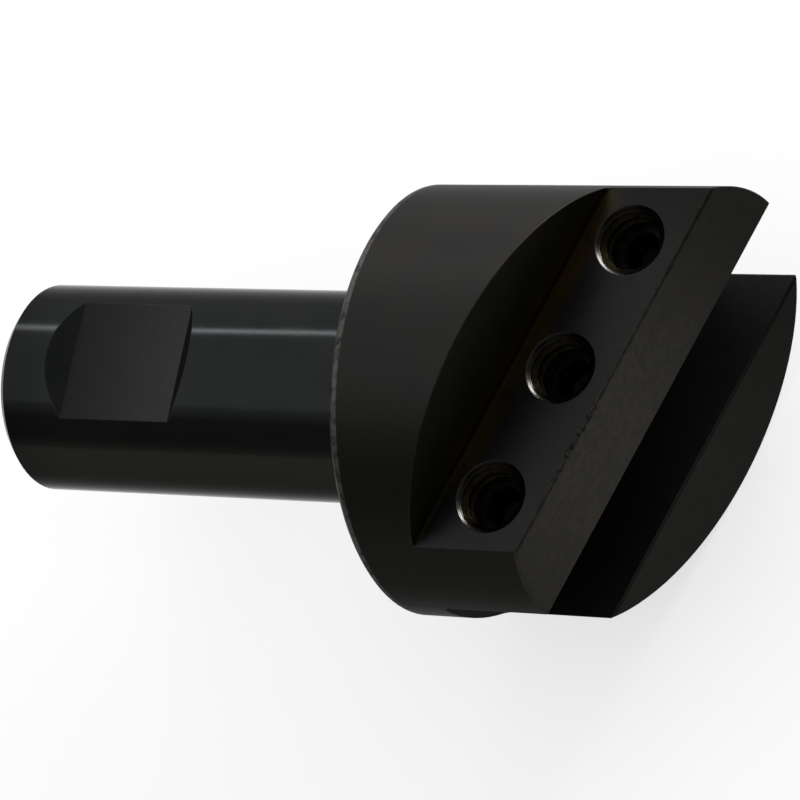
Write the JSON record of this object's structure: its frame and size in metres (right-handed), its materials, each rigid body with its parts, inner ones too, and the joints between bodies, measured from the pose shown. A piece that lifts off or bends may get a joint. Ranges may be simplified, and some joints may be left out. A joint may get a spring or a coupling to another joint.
{
  "type": "fly cutter",
  "caption": "Fly cutter with a flatted round shank and a slant-faced drum head whose cross slot clamps a square tool bit with socket set screws.",
  "frame": {"origin": "on the tool's axis in the plane of the head's rear face, where the shank meets the head", "axes": "+X along the axis from the shank to the cutting end; +Z out of the clamping face and the shank's flat; +Y across the head towards its longer side"},
  "size_m": [0.0926, 0.0508, 0.0508],
  "materials": {
    "body_steel": "black oxide, ground and milled, lightly oiled",
    "screw_steel": "black oxide alloy steel"
  },
  "bodies": {
    "cutter_body": {"cutter_body": "body_steel"},
    "set_screw_1": {"set_screw_1": "screw_steel"},
    "set_screw_2": {"set_screw_2": "screw_steel"},
    "set_screw_3": {"set_screw_3": "screw_steel"}
  },
  "joints": [
    {"name": "set_screw_1_travel", "type": "slide", "parent": "cutter_body", "child": "set_screw_1", "axis": [0, 0, 1], "range_m": [-0.00423, 0.00282]},
    {"name": "set_screw_2_travel", "type": "slide", "parent": "cutter_body", "child": "set_screw_2", "axis": [0, 0, 1], "range_m": [-0.00423, 0.00282]},
    {"name": "set_screw_3_travel", "type": "slide", "parent": "cutter_body", "child": "set_screw_3", "axis": [0, 0, 1], "range_m": [-0.00423, 0.00282]}
  ]
}
